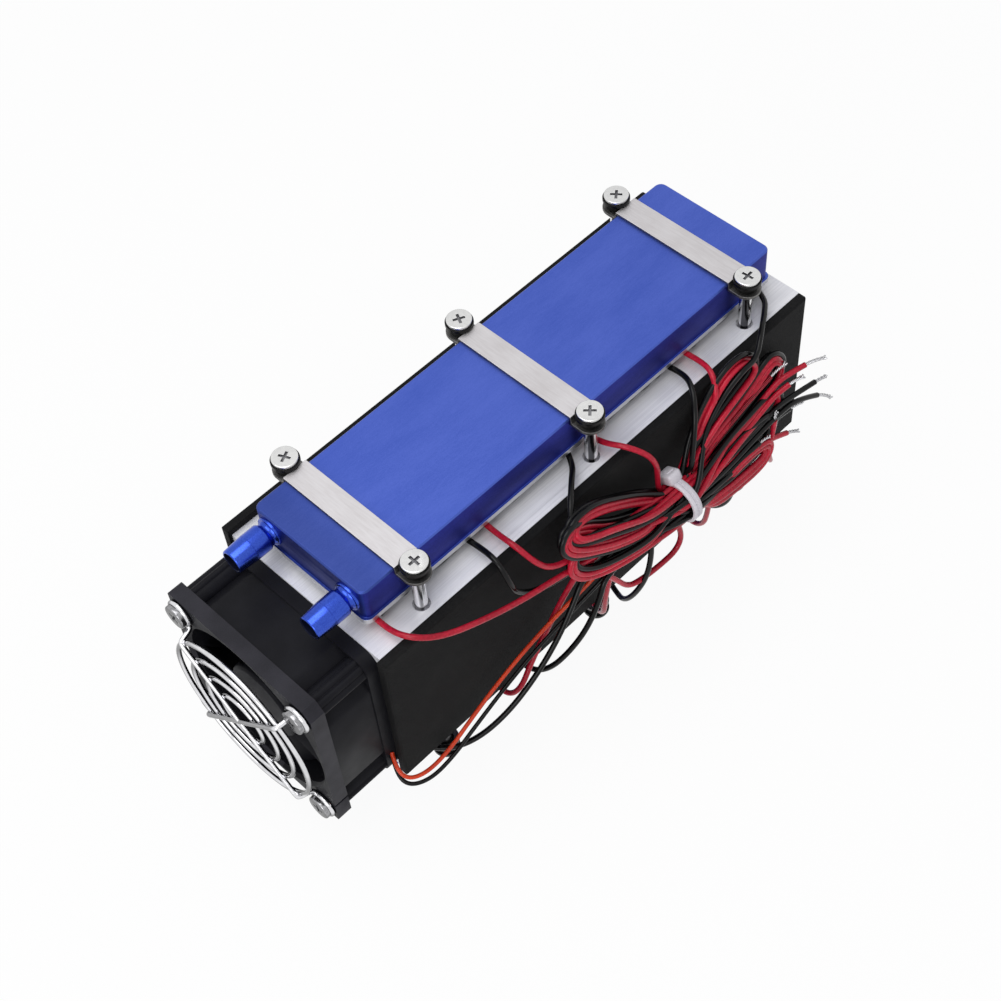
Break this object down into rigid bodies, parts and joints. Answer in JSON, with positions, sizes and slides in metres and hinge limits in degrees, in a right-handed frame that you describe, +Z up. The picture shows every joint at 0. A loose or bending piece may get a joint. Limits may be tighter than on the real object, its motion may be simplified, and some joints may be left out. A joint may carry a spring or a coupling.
{
  "type": "thermoelectric cooling module",
  "caption": "Fan-fed heatsinks with thermoelectric modules clamped under blue water blocks with hose barbs, foam side boards and tied leads.",
  "frame": {"origin": "under the middle of the body, on the surface that it stands on", "axes": "+X from the fan towards the open rear end, +Z up, the leads on the -Y side"},
  "size_m": [0.2108, 0.0858, 0.1031],
  "materials": {
    "sink_aluminium": "brushed",
    "strap_aluminium": "satin",
    "blue_anodised": "satin anodised",
    "black_foam": "matte, finely pored",
    "screw_steel": "nickel plated",
    "core_steel": "plain",
    "coil_copper": "enamelled copper wire",
    "magnet_ferrite": "matte",
    "board_laminate": "gloss",
    "guard_chrome": "bright",
    "fan_plastic": "matte",
    "black_nylon": "semi gloss",
    "white_nylon": "semi gloss",
    "module_ceramic": "matte ceramic",
    "red_sheath": "satin",
    "black_sheath": "satin"
  },
  "bodies": {
    "chassis": {"upper_heatsink": "sink_aluminium", "lower_heatsink": "sink_aluminium", "upper_water_block": "blue_anodised", "lower_water_block": "blue_anodised", "right_side_board": "black_foam", "left_side_board": "black_foam", "upper_clamp_screws": "screw_steel", "lower_clamp_screws": "screw_steel", "fan_screws": "screw_steel", "upper_bushings": "black_nylon", "lower_bushings": "black_nylon", "fan_frame": "fan_plastic", "fan_bearings": "screw_steel", "stator_core": "core_steel", "stator_coils": "coil_copper", "motor_board": "board_laminate", "finger_guard": "guard_chrome", "wire_hank": "black_sheath", "cable_tie": "white_nylon", "upper_right_barb": "blue_anodised", "upper_left_barb": "blue_anodised", "upper_module_1": "module_ceramic", "upper_module_2": "module_ceramic", "upper_module_3": "module_ceramic", "upper_module_4": "module_ceramic", "upper_strap_1": "strap_aluminium", "upper_strap_2": "strap_aluminium", "upper_strap_3": "strap_aluminium", "lower_right_barb": "blue_anodised", "lower_left_barb": "blue_anodised", "lower_module_1": "module_ceramic", "lower_module_2": "module_ceramic", "lower_module_3": "module_ceramic", "lower_module_4": "module_ceramic", "lower_strap_1": "strap_aluminium", "lower_strap_2": "strap_aluminium", "lower_strap_3": "strap_aluminium", "upper_red_lead_1": "red_sheath", "upper_black_lead_1": "black_sheath", "upper_red_lead_2": "red_sheath", "upper_black_lead_2": "black_sheath", "upper_red_lead_3": "red_sheath", "upper_black_lead_3": "black_sheath", "upper_red_lead_4": "red_sheath", "upper_black_lead_4": "black_sheath", "lower_red_lead_1": "red_sheath", "lower_black_lead_1": "black_sheath", "lower_red_lead_2": "red_sheath", "lower_black_lead_2": "black_sheath", "lower_red_lead_3": "red_sheath", "lower_black_lead_3": "black_sheath", "lower_red_lead_4": "red_sheath", "lower_black_lead_4": "black_sheath", "fan_red_lead": "red_sheath", "fan_black_lead": "black_sheath"},
    "fan_rotor": {"impeller": "fan_plastic", "fan_shaft": "screw_steel", "magnet_ring": "magnet_ferrite", "rotor_yoke": "core_steel"}
  },
  "joints": [
    {"name": "fan_spin", "type": "hinge", "parent": "chassis", "child": "fan_rotor", "pos_m": [-0.0873, 0, 0.05155], "axis": [1, 0, 0], "continuous": true}
  ]
}
